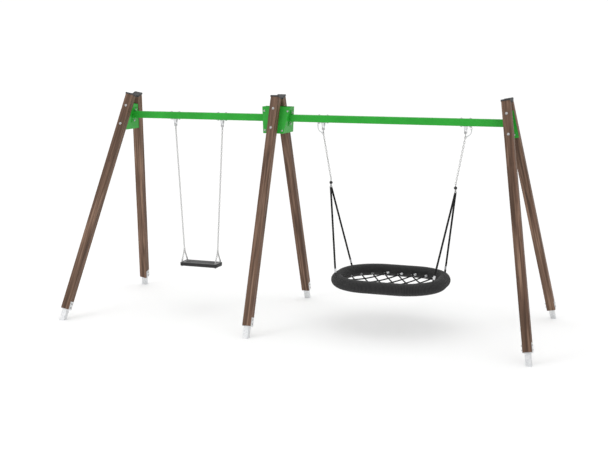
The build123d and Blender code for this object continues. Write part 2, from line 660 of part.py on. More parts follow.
for name, sx, top_x in (("left", -1, NEST_HANGERS[0]), ("right", 1, NEST_HANGERS[1])):
    x = nest_mid + sx * BALL_HALF
    bar = (x, 0, top_ring_z + TOP_RING_R)
    links, centres = chain((top_x, 0, eye_bar_z), EYE_RIM, bar, TOP_RING_WIRE_R, (1, 0, 0))
    node(f"nest_chain_{name}", links)

    eye = Rot(0, 90, 0) * Torus(TOP_RING_R, TOP_RING_WIRE_R)
    eye = Pos(x, 0, top_ring_z) * eye
    eye += rod((x, 0, top_ring_z - TOP_RING_R), (x, 0, PIVOT_Z + LUG_R + 1), 5)
    eye += Pos(x, 0, PIVOT_Z) * Rot(0, 90, 0) * Cylinder(LUG_R, LUG_T)
    eye += Pos(x, 0, PIVOT_Z + LUG_R - 1) * Box(LUG_T, 10, 6)
    eye -= hole(Vector(x, 0, PIVOT_Z), Vector(1, 0, 0), PIVOT_R + RUN_CLEAR, 40)
    swivels.append(eye)
    ball = Pos(x, 0, BALL_Z) * Sphere(BALL_R)
    balls.append(ball - rod((x, 0, BALL_Z - 40), (x, 0, BALL_Z + 40), 5.1))

    clevis = Pos(0, 0, BLOCK_TOP - BLOCK_H / 2) * Box(2 * (CLEVIS_IN + CLEVIS_T) + 8, 50, BLOCK_H)
    clevis = fillet(clevis.edges().filter_by(Axis.Z), 6)
    for cx in (-1, 1):
        ear_x = cx * (CLEVIS_IN + CLEVIS_T / 2)
        ear = Pos(ear_x, 0, (PIVOT_Z + BLOCK_TOP - 1) / 2)
        clevis += ear * Box(CLEVIS_T, 2 * LUG_R, PIVOT_Z - BLOCK_TOP + 1)
        clevis += Pos(ear_x, 0, PIVOT_Z) * Rot(0, 90, 0) * Cylinder(LUG_R, CLEVIS_T)
    clevis -= hole(Vector(0, 0, PIVOT_Z), Vector(1, 0, 0), PIVOT_R + 0.02, 60)
    clevises.append(Pos(x, 0, 0) * clevis)
    pin = Rot(0, 90, 0) * Cylinder(PIVOT_R, 2 * (CLEVIS_IN + CLEVIS_T) + 1)
    for cx in (-1, 1):
        head = Rot(0, 90, 0) * Cylinder(6.5, 2.5)
        pin += Pos(cx * (CLEVIS_IN + CLEVIS_T + 1.35), 0, 0) * head
    clevises.append(Pos(x, 0, PIVOT_Z) * pin)

    ropes = []
    for sy in (-1, 1):
        start = Vector(x, sy * ROPE_TOP_Y, rope_top_z - 0.2)
        near = Vector(nest_mid + sx * FERRULE_AT[0], sy * FERRULE_AT[1], FERRULE_AT[2])
        line = (near - start).normalized()
        ropes.append(rod(start - line * 0.2, near - line * 22, ROPE_R))
        ferrules.append(rod(near - line * 21.8, near + line * 21.8, 12.5))
        into = near + line * (
            (FERRULE_AT[2] - NEST_Z - RING_R * 0.62) / abs(line.Z)
        )
        sleeves.append(rod(near + line * 22, into, 11.5) - rod(near, into + line * 9, 7.2))
        point, tangent = ring_point(sx, sy, FERRULE_AT[0], FERRULE_AT[1])
        collar = at(point, tangent) * (Cylinder(28, 44) - Cylinder(TUBE_R + 1.6, 60))
        stem = rod(near + line * 22, into + line * 10, 7) + rod(into + line * 9, point, 8)
        anchors.append(stem + collar)
        anchors[-1] -= at(point, tangent) * Cylinder(TUBE_R + 1.6, 60)
    node(f"nest_ropes_{name}", ropes)

    # Safety loop: from a lug under the outer hanger bolt to the chain's first link.
    bolt_x = top_x + sx * HANGER_BOLT_HALF
    lug_z = under - HANGER_PLATE_T
    plate = Pos(bolt_x, 0, lug_z - SAFETY_LUG_T / 2) * Box(28, 22, SAFETY_LUG_T)
    plate -= hole(Vector(bolt_x, 0, lug_z), Vector(0, 0, 1), 6 + BOLT_CLEAR, 40)
    tab_x = bolt_x + sx * 14
    plate += Pos(tab_x, 0, lug_z - LUG_TAB / 2) * Box(4, 20, LUG_TAB)
    eye_z = lug_z - LUG_TAB + 7
    plate -= hole(Vector(tab_x, 0, eye_z), Vector(1, 0, 0), 4.0, 20)
    lugs.append(plate)
    loop = at(Vector(tab_x, 0, eye_z - LOOP_RING_R), Vector(0, 1, 0)) * Torus(LOOP_RING_R, LOOP_WIRE_R)
    slant = Vector(-sx * math.sin(math.radians(52)), 0, -math.cos(math.radians(52)))
    grab = centres[0]
    ring_at = grab - slant * LOOP_RING_R
    loop += at(ring_at, Vector(0, 1, 0).cross(slant)) * Torus(LOOP_RING_R, LOOP_WIRE_R)
    start = Vector(tab_x, 0, eye_z - 2 * LOOP_RING_R)
    end = grab - slant * (2 * LOOP_RING_R)
    run_x, run_z = end.X - start.X, end.Z - start.Z
    route = [start]
    for fx, fz in ((-0.03, 0.28), (0.10, 0.55), (0.36, 0.80)):
        route.append(Vector(start.X + fx * run_x, 0, start.Z + fz * run_z))
    route.append(end)
    loop += bent_tube(route, CABLE_R, f"safety loop {name}")
    loop += rod(start + Vector(0, 0, 1), start - Vector(0, 0, 12), CABLE_R + 1.5)
    last = (route[-1] - route[-2]).normalized()
    loop += rod(end - last * 12, end + last * 1, CABLE_R + 1.5)
    loops.append(loop)
node("swivel_eyes", swivels)
node("swivel_balls", balls)
node("rope_clevises", clevises)
node("rope_ferrules", ferrules)
node("rope_sleeves", sleeves)
node("rope_anchors", anchors)
node("safety_lugs", lugs)
node("safety_loops", loops)

# The ring: steel tube, foam core and braided cover on one rounded oblong path.
w, h, r = ring_path_l, ring_path_w, ring_path_r
p = Plane(origin=(nest_mid, 0, NEST_Z))
outline = p * (Rectangle(2 * w, 2 * h) if r <= 0 else RectangleRounded(2 * w, 2 * h, r))
path = outline.face().outer_wire() if hasattr(outline, "face") else outline.wire()
seed = Plane(origin=path @ 0, z_dir=path % 0)
node("nest_tube", sweep(seed * (Circle(TUBE_R) - Circle(TUBE_R - TUBE_WALL)), path=path))
node("nest_core", sweep(seed * (Circle(CORE_R) - Circle(TUBE_R)), path=path))
node("nest_cover", sweep(seed * (Circle(RING_R) - Circle(CORE_R)), path=path))


# The net: two layers of slanting ropes, each sagging towards the middle.
def inside_reach(px, py, half_l, half_w, corner):
    """Signed distance of a plan point inside a rounded oblong (negative is inside)."""
    qx = abs(px) - (half_l - corner)
    qy = abs(py) - (half_w - corner)
    out = math.hypot(max(qx, 0), max(qy, 0))
    return out + min(max(qx, qy), 0) - corner


def edge_along(px, py, ux, uy, inset):
    """How far from a plan point to the ring's inside, less an inset."""
    low, high = 0.0, 3 * NEST_HALF_L
    for _ in range(50):
        mid = (low + high) / 2
        gone = inside_reach(
            px + ux * mid, py + uy * mid, ring_path_l, ring_path_w, ring_path_r
        )
        if gone < -RING_R + inset:
            low = mid
        else:
            high = mid
    return low


def net_z(px, py):
    sag = 1 - (px / (ring_path_l - 30)) ** 2 - (py / (ring_path_w - 30)) ** 2
    return NEST_Z - NET_DROP - NET_SAG * max(sag, 0)


net_layers = {"over": (1, NET_R + 0.8), "under": (-1, -NET_R - 0.8)}
net_ferrules = []
ferrule_spots = []
for layer, (turn, lift) in net_layers.items():
    ux = math.cos(math.radians(NET_ANGLE))
    uy = turn * math.sin(math.radians(NET_ANGLE))
    strands = []
    reach_x = int((NEST_HALF_L + NEST_HALF_W) / NET_PITCH) + 1
    for i in range(-reach_x, reach_x + 1):
        px = (i + 0.5) * NET_PITCH
        # slide along the strand to its point nearest the middle
        back = -(px * ux)
        qx, qy = px + ux * back, uy * back
        if inside_reach(qx, qy, ring_path_l, ring_path_w, ring_path_r) > -RING_R - 60:
            continue
        ahead = edge_along(qx, qy, ux, uy, 25)
        behind = edge_along(qx, qy, -ux, -uy, 25)
        if ahead + behind < 260:
            continue
        pts = []
        for k in range(9):
            t = -behind + (ahead + behind) * k / 8
            wx, wy = qx + ux * t, qy + uy * t
            pts.append(Vector(nest_mid + wx, wy, net_z(wx, wy) + lift))
        line = Spline(*pts)
        strand = sweep(Plane(origin=line @ 0, z_dir=line % 0) * Circle(NET_R), path=line)
        strands.append(strand)
        total = ahead + behind
        for t0, t1 in ((30, 64), (total - 64, total - 30)):
            a = line @ (t0 / total)
            b = line @ (t1 / total)
            if any(((a + b) / 2 - other).length < 30 for other in ferrule_spots):
                continue
            ferrule_spots.append((a + b) / 2)
            sleeve = rod(a, b, NET_R + 4) - rod(a - (b - a), b + (b - a), NET_R + 0.6)
            net_ferrules.append(sleeve)
    node(f"net_{layer}", strands)
node("net_ferrules", net_ferrules)

# ---- write ---------------------------------------------------------------------------
for name, shape in nodes.items():
    export_step(shape, f"parts/{name}.step")
print(len(nodes), "nodes")
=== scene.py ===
# %% [markdown]
# # A playground swing set
#
# Three timber A-frames carry two square steel beams. A flat rubber seat hangs
# from the short beam on chains, and an oval net nest from the long beam on
# chains and ropes. The timber, steel and bolts are already made to measure, so
# they are loaded first and never moved. Here they get their finishes, and the
# soft and twisted things, such as ropes, net, cover and seat, are modelled anew.

# %% Load the measured frame
import json
import math
from contextlib import contextmanager

import bmesh
import bpy
import numpy as np
from mathutils import Matrix, Vector


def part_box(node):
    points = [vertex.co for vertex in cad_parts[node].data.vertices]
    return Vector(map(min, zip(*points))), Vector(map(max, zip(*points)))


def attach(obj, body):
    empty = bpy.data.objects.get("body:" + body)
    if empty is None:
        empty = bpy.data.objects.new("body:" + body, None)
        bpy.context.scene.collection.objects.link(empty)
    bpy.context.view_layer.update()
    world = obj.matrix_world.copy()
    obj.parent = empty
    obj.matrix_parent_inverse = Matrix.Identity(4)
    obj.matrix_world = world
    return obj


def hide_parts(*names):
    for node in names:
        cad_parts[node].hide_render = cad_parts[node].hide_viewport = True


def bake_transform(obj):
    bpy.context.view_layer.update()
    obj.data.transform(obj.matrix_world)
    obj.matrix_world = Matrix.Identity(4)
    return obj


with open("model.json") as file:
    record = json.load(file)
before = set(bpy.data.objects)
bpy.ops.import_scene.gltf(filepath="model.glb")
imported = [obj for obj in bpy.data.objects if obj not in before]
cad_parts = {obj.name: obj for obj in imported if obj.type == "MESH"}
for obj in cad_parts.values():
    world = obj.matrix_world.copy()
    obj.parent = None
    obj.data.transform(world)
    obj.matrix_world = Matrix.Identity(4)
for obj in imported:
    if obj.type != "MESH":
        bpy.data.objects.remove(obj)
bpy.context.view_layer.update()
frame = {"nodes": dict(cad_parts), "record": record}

# %% [markdown]
# ## Camera
#
# The set is over five metres wide, so a longish lens from twelve metres keeps
# its uprights calm. The camera stands at the right front, a little above the
# beams, and looks slightly down. It is made before anything else.

# %% Stand the camera
bpy.ops.object.select_all(action="DESELECT")
bpy.ops.object.camera_add(
    location=(4.0601, -11.5119, 3.1849),
    rotation=(math.radians(80.061), 0, math.radians(19.699)),
)
camera = bpy.context.object
camera.name = "onlooker"
camera.data.lens = 63.10
camera.data.sensor_width = 36
bpy.context.scene.camera = camera
print("camera stands", round(camera.location.length, 2), "m from the origin")

# %% [markdown]
# ## Floor and light
#
# The set stands on a bright studio floor under a pale dome that is brightest
# overhead. Almost all the light is soft, so each foot and the nest only leave a
# faint shade below them, and the steel has something darker at the horizon to
# reflect.


# %% Lay the floor and hang the lights
def studio_surface(name, colour, roughness):
    made = bpy.data.materials.new(name)
    made.use_nodes = True
    shader = made.node_tree.nodes["Principled BSDF"]
    shader.inputs["Base Color"].default_value = (*colour, 1)
    shader.inputs["Roughness"].default_value = roughness
    shader.inputs["Specular IOR Level"].default_value = 0.0
    return made


bpy.ops.mesh.primitive_plane_add(size=160, location=(0, 0, 0))
floor = bpy.context.object
floor.name = "studio_floor"
floor.data.materials.append(studio_surface("studio_white", (0.97, 0.97, 0.97), 0.9))


def soft_light(name, place, aim, size, power):
    """A square lamp that faces the point it is aimed at."""
    bpy.ops.object.light_add(type="AREA", location=place)
    lamp = bpy.context.object
    lamp.name = name
    lamp.data.shape = "SQUARE"
    lamp.data.size = size
    lamp.data.energy = power
    lamp.rotation_euler = (Vector(aim) - Vector(place)).to_track_quat("-Z", "Y").to_euler()
    return lamp


soft_light("front_softbox", (-7.0, -10.0, 7.0), (0, 0, 1.2), 5.0, 170)


def pale_dome(horizon, zenith):
    """A sky that lights from grey horizon to bright zenith, and looks plain white."""
    sky = bpy.data.worlds.new("pale_dome")
    sky.use_nodes = True
    tree = sky.node_tree
    lit = tree.nodes["Background"]
    where = tree.nodes.new("ShaderNodeTexCoord")
    height = tree.nodes.new("ShaderNodeSeparateXYZ")
    level = tree.nodes.new("ShaderNodeMapRange")
    level.inputs["To Min"].default_value = horizon
    level.inputs["To Max"].default_value = zenith
    tree.links.new(where.outputs["Generated"], height.inputs[0])
    tree.links.new(height.outputs["Z"], level.inputs["Value"])
    tree.links.new(level.outputs["Result"], lit.inputs["Strength"])
    lit.inputs["Color"].default_value = (1, 1, 1, 1)
    seen = tree.nodes.new("ShaderNodeBackground")
    seen.inputs["Color"].default_value = (1, 1, 1, 1)
    seen.inputs["Strength"].default_value = 1.05
    ray = tree.nodes.new("ShaderNodeLightPath")
    choice = tree.nodes.new("ShaderNodeMixShader")
    tree.links.new(ray.outputs["Is Camera Ray"], choice.inputs[0])
    tree.links.new(lit.outputs[0], choice.inputs[1])
    tree.links.new(seen.outputs[0], choice.inputs[2])
    tree.links.new(choice.outputs[0], tree.nodes["World Output"].inputs["Surface"])
    return sky


bpy.context.scene.world = pale_dome(horizon=0.55, zenith=1.33)
bpy.context.scene.view_settings.view_transform = "Standard"
print("one lamp, a pale dome and a floor")

# %% [markdown]
# ## Shader maths that reads like maths
#
# A finish is a small graph of nodes. Wiring each node by hand hides what the
# graph means, so one class wraps a socket and lets `a * 2 + b` make the Math
# nodes. A second class holds one material, and its `node` method makes any
# other node from its type, settings and socket values.


# %% Two helpers for finishes
class Value:
    """One output of a shader node, which can be used in plain sums."""

    def __init__(self, finish, socket):
        self.finish = finish
        self.socket = socket

    def _sum(self, operation, *terms):
        sockets = dict(enumerate(terms))
        return self.finish.node("Math", {"operation": operation}, sockets)

    def __add__(self, other):
        return self._sum("ADD", self, other)

    def __radd__(self, other):
        return self._sum("ADD", other, self)

    def __sub__(self, other):
        return self._sum("SUBTRACT", self, other)

    def __rsub__(self, other):
        return self._sum("SUBTRACT", other, self)

    def __mul__(self, other):
        return self._sum("MULTIPLY", self, other)

    def __rmul__(self, other):
        return self._sum("MULTIPLY", other, self)

    def __truediv__(self, other):
        return self._sum("DIVIDE", self, other)

    def __pow__(self, power):
        return self._sum("POWER", self, power)

    def __abs__(self):
        return self._sum("ABSOLUTE", self)

    def floor(self):
        return self._sum("FLOOR", self)

    def part(self):
        """What is left above the whole number."""
        return self._sum("FRACT", self)

    def between(self, low, high):
        """0 below low, 1 above high, and a smooth step from one to the other."""
        return self.finish.node(
            "MapRange",
            {"interpolation_type": "SMOOTHSTEP"},
            {"Value": self, "From Min": low, "From Max": high},
        )


class Finish:
    """One material on its way from bare shader to finished surface."""

    def __init__(self, name, **constants):
        self.material = bpy.data.materials.new(name)
        self.material.use_nodes = True
        self.tree = self.material.node_tree
        self.shader = self.tree.nodes["Principled BSDF"]
        self.feed(self.shader, constants)

    def feed(self, node, sockets):
        for key, value in sockets.items():
            if isinstance(key, str) and key not in node.inputs:
                key = key.replace("_", " ")
            if isinstance(value, Value):
                self.tree.links.new(value.socket, node.inputs[key])
            else:
                node.inputs[key].default_value = value

    def node(self, kind, settings=None, sockets=None, out=0):
        made = self.tree.nodes.new("ShaderNode" + kind)
        for key, value in (settings or {}).items():
            if key == "stops":
                self.set_stops(made.color_ramp, value)
            else:
                setattr(made, key, value)
        self.feed(made, sockets or {})
        return Value(self, made.outputs[out])

    @staticmethod
    def set_stops(ramp, stops):
        while len(ramp.elements) < len(stops):
            ramp.elements.new(1.0)
        for element, (position, colour) in zip(ramp.elements, stops):
            element.position = position
            element.color = (*colour, 1)

    def place(self, turn=(0, 0, 0), move=(0, 0, 0), scale=(1, 1, 1)):
        """Object coordinates, moved, turned and stretched."""
        where = self.node("TexCoord", out=3)
        sockets = {"Vector": where, "Location": move, "Rotation": turn, "Scale": scale}
        return self.node("Mapping", {}, sockets)

    def stretch(self, where, scale):
        return self.node("VectorMath", {"operation": "MULTIPLY"}, {0: where, 1: scale})

    def noise(self, where, scale, detail=3.0, roughness=0.5, distortion=0.0):
        sockets = {
            "Vector": where,
            "Scale": scale,
            "Detail": detail,
            "Roughness": roughness,
            "Distortion": distortion,
        }
        return self.node("TexNoise", {}, sockets)

    def ramp(self, amount, *stops):
        return self.node("ValToRGB", {"stops": stops}, {"Fac": amount})

    def blend(self, amount, first, second):
        """From the first colour to the second, as the amount goes from 0 to 1."""
        first, second = ((*c, 1) if isinstance(c, tuple) else c for c in (first, second))
        sockets = {0: amount, 6: first, 7: second}
        return self.node("Mix", {"data_type": "RGBA"}, sockets, out=2)

    def bump(self, height, distance, strength=1.0, under=None):
        sockets = {"Height": height, "Distance": distance, "Strength": strength}
        if under is not None:
            sockets["Normal"] = under
        return self.node("Bump", {}, sockets)

    def done(self, **sockets):
        self.feed(self.shader, sockets)
        return self.material


print("helpers ready: Value and Finish")

# %% [markdown]
# ## Timber
#
# The legs are laminated pine, pressure-treated and stained dark brown. Three
# boards are glued side by side, so each has a tone of its own, with a thin line
# between them. Grain, stain and drying checks all run along the leg. A leg
# leans two ways, so its pattern is turned by a Mapping node until its own Z
# runs along the leg. That needs where each leg stands, which is worked out from
# the same few sizes as the measured frame.

# %% Where each leg stands
TOP_HEIGHT = 2.600
LEG_WIDE = 0.095
LEG_GAP = 0.0185
LEG_SLOPE = math.radians(20.021)
FRAME_LEAN = math.radians(10.16)
BAY_FLAT, BAY_NEST = 1.867, 2.620
MIDDLE_X = (BAY_FLAT - BAY_NEST) / 2
FRAMES = {
    "left": (MIDDLE_X - BAY_FLAT, -1),
    "middle": (MIDDLE_X, 0),
    "right": (MIDDLE_X + BAY_NEST, 1),
}


def leg_stance(frame_name, side):
    """The leg's foot, and the turn that takes upright timber to the leg."""
    apex, lean = FRAMES[frame_name]
    spread = LEG_WIDE / 2 / math.cos(LEG_SLOPE) + LEG_GAP
    top = Vector((apex, side * spread, TOP_HEIGHT))
    foot = top + Vector(
        (
            lean * TOP_HEIGHT * math.tan(FRAME_LEAN),
            side * TOP_HEIGHT * math.tan(LEG_SLOPE),
            -TOP_HEIGHT,
        )
    )
    along = (top - foot).normalized()
    across = Vector((math.cos(FRAME_LEAN), 0, lean * math.sin(FRAME_LEAN)))
    turn = Matrix((across, along.cross(across), along)).transposed()
    return foot, turn


for name in FRAMES:
    foot, turn = leg_stance(name, -1)
    print(name, "front foot at", [round(v, 3) for v in foot])


# %% Stained timber
def stained_timber(name, foot, turn, start):
    """Dark laminated pine whose grain follows one leg."""
    f = Finish(name, IOR=1.45, Specular_IOR_Level=0.3)
    back = turn.transposed()
    local = f.place(turn=back.to_euler(), move=-(back @ foot))
    own = f.node("VectorMath", {"operation": "ADD"}, {0: local, 1: (start, 2 * start, 5 * start)})
    across = f.node("SeparateXYZ", {}, {0: local})
    layer = (across + LEG_WIDE / 2) / (LEG_WIDE / 3)
    board = layer.floor()
    inner = 1 - abs(across).between(0.030, 0.036)
    glue_line = abs(layer.part() - 0.5).between(0.470, 0.497) * inner
    board_tone = f.node("TexWhiteNoise", {"noise_dimensions": "1D"}, {"W": board * 7.3 + start})

    shift = f.node("CombineXYZ", {}, {"X": board_tone * 3.0, "Z": board_tone * 9.0})
    own = f.node("VectorMath", {"operation": "ADD"}, {0: own, 1: shift})
    bands = f.noise(f.stretch(own, (30, 30, 1.3)), 1.0, 3.0, 0.5, 0.5)
    streaks = f.noise(f.stretch(own, (62, 62, 1.6)), 1.0, 3.0, 0.6, 0.3)
    patches = f.noise(f.stretch(own, (9, 9, 1.5)), 1.0, 2.0)
    fibres = f.noise(f.stretch(own, (420, 420, 9)), 1.0, 3.0, 0.6)
    checks = f.noise(f.stretch(own, (55, 55, 0.9)), 1.0, 1.0, 0.4, 0.2)
    check = (1 - abs(checks - 0.5).between(0.0, 0.012)) * patches.between(0.45, 0.62)

    wood = f.ramp(
        bands,
        (0.36, (0.060, 0.032, 0.019)),
        (0.46, (0.120, 0.068, 0.043)),
        (0.55, (0.190, 0.113, 0.075)),
        (0.66, (0.300, 0.188, 0.128)),
    )
    dark = streaks.between(0.54, 0.68) * 0.8
    wood = f.blend(dark, wood, (0.062, 0.030, 0.018))
    wood = f.blend(patches.between(0.45, 0.72) * 0.35, wood, (0.215, 0.112, 0.076))
    wood = f.blend(board_tone * 0.3, wood, (0.085, 0.050, 0.034))
    wood = f.blend(fibres.between(0.35, 0.75) * 0.12, wood, (0.30, 0.20, 0.145))
    wood = f.blend(glue_line * 0.7, wood, (0.035, 0.020, 0.014))
    wood = f.blend(check * 0.85, wood, (0.018, 0.010, 0.008))

    height = fibres * 0.35 + bands * 0.5 - glue_line * 0.8 - check * 1.5
    return f.done(
        Base_Color=wood,
        Roughness=0.52 + fibres * 0.22 + dark * 0.1,
        Normal=f.bump(height, 0.0009, 0.7),
    )


for i, (frame_name, side_name) in enumerate(
    (a, b) for a in FRAMES for b in ("front", "back")
):
    foot, turn = leg_stance(frame_name, -1 if side_name == "front" else 1)
    leg = frame["nodes"][f"leg_{frame_name}_{side_name}"]
    leg.material_slots[0].material = stained_timber(
        f"timber_{frame_name}_{side_name}", foot, turn, 1.7 + 3.1 * i
    )
print("six legs, each with its own run of grain")

# %% [markdown]
# ## Paint, zinc and steel
#
# The beams and folded brackets are powder coated leaf green: a semi-gloss skin
# with the fine ripple that baking leaves, called orange peel, and a little
# dust. The shoes and hangers are hot-dip galvanised, which grows flat crystals,
# called spangle. Voronoi cells give each crystal its own brightness. Bolts,
# chain and rings are plain stainless, so their look is almost all reflection,
# with fine handling marks in the roughness.


# %% Finishes for the metal parts
def leaf_green_coat():
    f = Finish("leaf_green_powder_coat", IOR=1.5, Specular_IOR_Level=0.3)
    where = f.place()
    peel = f.noise(where, 620.0, 2.0, 0.5)
    cloud = f.noise(where, 3.5, 4.0, 0.6)
    grime = f.noise(where, 38.0, 5.0, 0.7)
    paint = f.blend(cloud.between(0.3, 0.7), (0.013, 0.325, 0.022), (0.020, 0.385, 0.030))
    paint = f.blend(grime.between(0.60, 0.80) * 0.25, paint, (0.045, 0.260, 0.045))
    return f.done(
        Base_Color=paint,
        Roughness=0.36 + grime * 0.16,
        Normal=f.bump(peel + cloud * 2.0, 0.00035, 0.5),
    )


def hot_dip_zinc():
    f = Finish("hot_dip_zinc")
    where = f.place()
    crystals = f.node("TexVoronoi", {}, {"Vector": where, "Scale": 85.0, "Randomness": 1.0}, out=1)
    tone = f.node("SeparateColor", {}, {0: crystals})
    cloud = f.noise(where, 14.0, 4.0, 0.6)
    frost = f.noise(where, 420.0, 3.0, 0.6)
    metal = f.blend(tone * 0.7 + cloud * 0.3, (0.60, 0.615, 0.63), (0.86, 0.865, 0.87))
    metal = f.blend(cloud.between(0.55, 0.75) * 0.4, metal, (0.78, 0.78, 0.77))
    return f.done(
        Base_Color=metal,
        Metallic=0.72 - cloud.between(0.5, 0.8) * 0.3,
        Roughness=0.34 + tone * 0.18 + frost * 0.10,
        Normal=f.bump(frost * 0.4 + tone * 0.25, 0.0003, 0.5),
    )


def stainless(name, colour, roughness):
    f = Finish(name)
    where = f.place()
    handling = f.noise(where, 260.0, 4.0, 0.65)
    haze = f.noise(where, 24.0, 3.0, 0.5)
    light = tuple(min(1.0, c * 1.14) for c in colour)
    return f.done(
        Base_Color=f.blend(haze.between(0.3, 0.7), colour, light),
        Metallic=1.0 - handling.between(0.62, 0.8) * 0.25,
        Roughness=roughness + handling * 0.14 + haze * 0.05,
        Normal=f.bump(handling, 0.00015, 0.4),
    )


def pressed_aluminium():
    f = Finish("pressed_aluminium")
    where = f.place()
    drawn = f.noise(f.stretch(where, (600, 600, 60)), 1.0, 3.0, 0.6)
    haze = f.noise(where, 40.0, 3.0)
    return f.done(
        Base_Color=f.blend(haze, (0.60, 0.61, 0.63), (0.80, 0.80, 0.81)),
        Metallic=0.9 - haze.between(0.55, 0.75) * 0.25,
        Roughness=0.30 + drawn * 0.18,
        Normal=f.bump(drawn, 0.0002, 0.4),
    )


def moulded_plastic():
    f = Finish("black_moulded_plastic", IOR=1.48)
    where = f.place()
    spark = f.noise(where, 900.0, 2.0, 0.6)
    cloud = f.noise(where, 30.0, 4.0)
    return f.done(
        Base_Color=f.blend(cloud.between(0.35, 0.8), (0.014, 0.014, 0.015), (0.040, 0.040, 0.042)),
        Roughness=0.38 + spark * 0.16 + cloud * 0.08,
        Normal=f.bump(spark, 0.0003, 0.5),
    )


def grey_foam():
    f = Finish("closed_cell_foam")
    where = f.place()
    cells = f.node("TexVoronoi", {}, {"Vector": where, "Scale": 420.0})
    return f.done(
        Base_Color=f.blend(cells * 3.0, (0.05, 0.05, 0.05), (0.14, 0.14, 0.14)),
        Roughness=0.85 + cells * 0.1,
        Normal=f.bump(cells, 0.0006, 0.6),
    )


finishes = {
    "green_paint": leaf_green_coat(),
    "zinc": hot_dip_zinc(),
    "bright_steel": stainless("bright_stainless", (0.44, 0.44, 0.44), 0.22),
    "chain_steel": stainless("chain_stainless", (0.52, 0.52, 0.515), 0.28),
    "press_aluminium": pressed_aluminium(),
    "black_plastic": moulded_plastic(),
    "foam": grey_foam(),
}
for part in frame["record"]["subparts"]:
    if part["material_slot"] in finishes:
        node = frame["nodes"][part["node"]]
        node.material_slots[0].material = finishes[part["material_slot"]]
print("finishes on the measured parts:", ", ".join(finishes))

# %% [markdown]
# ## Working by hand, in code
#
# Every new piece starts as a primitive and is shaped in edit mode, as at the
# screen. An operator acts on whatever is selected, so these helpers deselect
# all, open one piece for editing, and select faces or edges by where they are.


# %% Helpers for edit mode
def deselect():
    if bpy.context.object and bpy.context.object.mode != "OBJECT":
        bpy.ops.object.mode_set(mode="OBJECT")
    bpy.ops.object.select_all(action="DESELECT")


def only(piece):
    deselect()
    piece.select_set(True)
    bpy.context.view_layer.objects.active = piece


@contextmanager
def editing(piece, mode="FACE"):
    """Edit mode on one piece, with nothing selected."""
    only(piece)
    bpy.ops.object.mode_set(mode="EDIT")
    bpy.ops.mesh.select_mode(type=mode)
    bpy.ops.mesh.select_all(action="DESELECT")
    yield
    bpy.ops.object.mode_set(mode="OBJECT")


def pick(kind, test):
    """Select the faces or edges of the edited mesh that pass a test."""
    mesh = bpy.context.object.data
    body = bmesh.from_edit_mesh(mesh)
    found = [part for part in getattr(body, kind) if test(part)]
    for part in found:
        part.select_set(True)
    body.select_flush_mode()
    bmesh.update_edit_mesh(mesh)
    return len(found)


def added():
    """The object that the last operator made, with nothing else selected."""
    made = bpy.context.object
    only(made)
    return made


def modify(piece, kind, **settings):
    """Add one modifier, set it and apply it."""
    only(piece)
    made = piece.modifiers.new(kind.lower(), kind)
    for key, value in settings.items():
        setattr(made, key, value)
    bpy.ops.object.modifier_apply(modifier=made.name)


def copy_of(piece, where):
    """A copy with its own mesh, placed by a matrix."""
    twin = piece.copy()
    twin.data = piece.data.copy()
    twin.matrix_world = where @ piece.matrix_world
    bpy.context.scene.collection.objects.link(twin)
    return twin


def joined(name, parts):
    """Several parts as one piece whose object sits at the origin."""
    deselect()
    for part in parts:
        part.select_set(True)
    bpy.context.view_layer.objects.active = parts[0]
    if len(parts) > 1:
        bpy.ops.object.join()
    piece = bpy.context.object
    bpy.ops.object.transform_apply(location=True, rotation=True, scale=True)
    piece.name = name
    piece.data.name = name
    return piece


def hand_over(piece, body, material, stands_for=(), smooth=40):
    """Smooth it, give it its finish, and fix it to the body it moves with."""
    only(piece)
    bpy.ops.object.shade_smooth_by_angle(angle=math.radians(smooth))
    piece.data.materials.clear()
    piece.data.materials.append(material)
    if body:
        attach(piece, body)
    if stands_for:
        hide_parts(*stands_for)
    print(piece.name, "has", len(piece.data.polygons), "faces")


def discard(*pieces):
    deselect()
    for piece in pieces:
        piece.select_set(True)
    bpy.ops.object.delete()


# %% [markdown]
# ## Chain
#
# The chain is 6 mm round bar bent to oval links, each a quarter turn from the
# last. One link is modelled with care and copied down the line. Half a torus
# makes one bend, its open ends are extruded to half the straight side, and a
# mirror closes the link. With eight faces round the bar, a row of 55 links is
# still light, and smooth shading hides the facets.

# %% One link, then a row of them
BAR = 0.006
LINK_WIDE = 0.010
LINK_PITCH = 0.0246
LINK_PLAY = 0.0003


def link_blank(inside):
    """One upright link, its flat side facing the viewer."""
    bend = (LINK_WIDE + BAR) / 2
    straight = (inside + BAR) / 2 - bend
    bpy.ops.mesh.primitive_torus_add(
        major_radius=bend,
        minor_radius=BAR / 2,
        major_segments=12,
        minor_segments=8,
        rotation=(math.pi / 2, 0, 0),
    )
    link = added()
    bpy.ops.object.transform_apply(rotation=True)
    with editing(link):
        pick("faces", lambda face: face.calc_center_median().z < 0)
        bpy.ops.mesh.delete(type="FACE")
        bpy.ops.mesh.select_all(action="SELECT")
        bpy.ops.transform.translate(value=(0, 0, straight))
        bpy.ops.mesh.select_all(action="DESELECT")
        bpy.ops.mesh.select_mode(type="EDGE")
        pick("edges", lambda edge: edge.is_boundary)
        bpy.ops.mesh.extrude_region_move(
            TRANSFORM_OT_translate={"value": (0, 0, -straight)}
        )
    modify(link, "MIRROR", use_axis=(False, False, True), merge_threshold=0.0002)
    with editing(link):
        bpy.ops.mesh.select_all(action="SELECT")
        bpy.ops.mesh.normals_make_consistent(inside=False)
    return link


